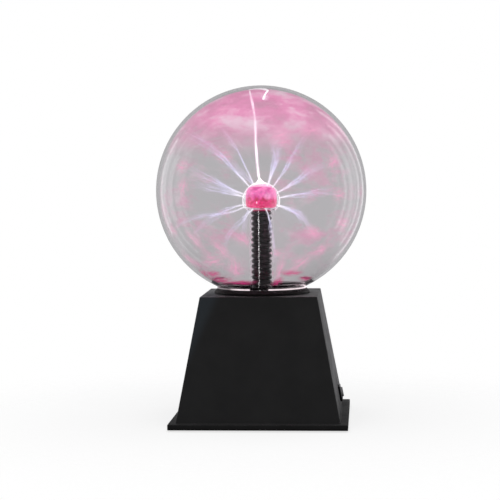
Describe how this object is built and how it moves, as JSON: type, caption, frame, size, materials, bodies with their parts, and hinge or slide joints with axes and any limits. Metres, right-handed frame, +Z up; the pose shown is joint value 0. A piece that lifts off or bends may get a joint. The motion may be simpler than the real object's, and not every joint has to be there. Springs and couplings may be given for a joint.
{
  "type": "plasma ball",
  "caption": "Gas-filled glass globe with a central electrode on a ribbed stem, on a black tapered square base with driver board, power inlet and side rocker switch.",
  "frame": {"origin": "centre of the footprint, at the underside of the rubber feet", "axes": "+Z up through the globe, +X to the right towards the rocker switch, front face towards -Y, power inlet towards +Y"},
  "size_m": [0.2032, 0.2032, 0.3231],
  "materials": {
    "globe_glass": "clear blown glass",
    "stem_glass": "clear drawn glass",
    "wire_wool": "fine wire wool",
    "sleeve_plastic": "black corrugated plastic",
    "black_rubber": "black rubber",
    "clear_silicone": "clear silicone",
    "white_silicone": "translucent white silicone",
    "black_plastic": "black moulded plastic, satin",
    "cover_plastic": "black moulded plastic, fine grain",
    "switch_plastic": "black nylon",
    "jack_plastic": "black moulded plastic",
    "board_laminate": "green solder mask",
    "ferrite": "sintered ferrite",
    "potting_resin": "black potting resin",
    "enamelled_copper": "enamelled copper wire",
    "aluminium": "extruded aluminium",
    "black_epoxy": "moulded epoxy",
    "capacitor_film": "dark blue sleeve",
    "polyester_film": "brown-red dipped film",
    "plated_steel": "zinc plated",
    "brass": "plated brass",
    "lead_insulation": "red insulation"
  },
  "bodies": {
    "base": {"audio_chip": "black_epoxy", "base_cover": "cover_plastic", "base_housing": "black_plastic", "board_screw_1": "plated_steel", "board_screw_2": "plated_steel", "board_screw_3": "plated_steel", "board_screw_4": "plated_steel", "cover_screw_1": "plated_steel", "cover_screw_2": "plated_steel", "cover_screw_3": "plated_steel", "cover_screw_4": "plated_steel", "dc_jack_body": "jack_plastic", "dc_jack_pin": "brass", "driver_board": "board_laminate", "electrode_wool": "wire_wool", "exhaust_tip": "stem_glass", "film_capacitor": "polyester_film", "filter_capacitor_1": "capacitor_film", "filter_capacitor_2": "capacitor_film", "flyback_core_lower": "ferrite", "flyback_core_upper": "ferrite", "flyback_hv_coil": "potting_resin", "flyback_primary_coil": "enamelled_copper", "glass_globe": "globe_glass", "glass_stem": "stem_glass", "globe_seat_ring": "black_rubber", "heat_sink": "aluminium", "high_voltage_lead": "white_silicone", "microphone": "plated_steel", "microphone_lead_1": "lead_insulation", "microphone_lead_2": "lead_insulation", "neck_silicone": "white_silicone", "power_transistor": "black_epoxy", "rubber_foot_1": "black_rubber", "rubber_foot_2": "black_rubber", "rubber_foot_3": "black_rubber", "rubber_foot_4": "black_rubber", "seat_gasket_left": "clear_silicone", "seat_gasket_right": "clear_silicone", "stem_sleeve": "sleeve_plastic", "switch_body": "switch_plastic", "switch_lead_1": "lead_insulation", "switch_lead_2": "lead_insulation", "switch_lead_3": "lead_insulation", "switch_terminal_1": "brass", "switch_terminal_2": "brass", "switch_terminal_3": "brass", "timer_chip": "black_epoxy"},
    "rocker": {"switch_rocker": "switch_plastic"}
  },
  "joints": [
    {"name": "rocker_hinge", "type": "hinge", "parent": "base", "child": "rocker", "pos_m": [0.07209, 0.028, 0.02064], "axis": [-0.1817, 0, 0.9834], "range_deg": [0, 24]}
  ]
}
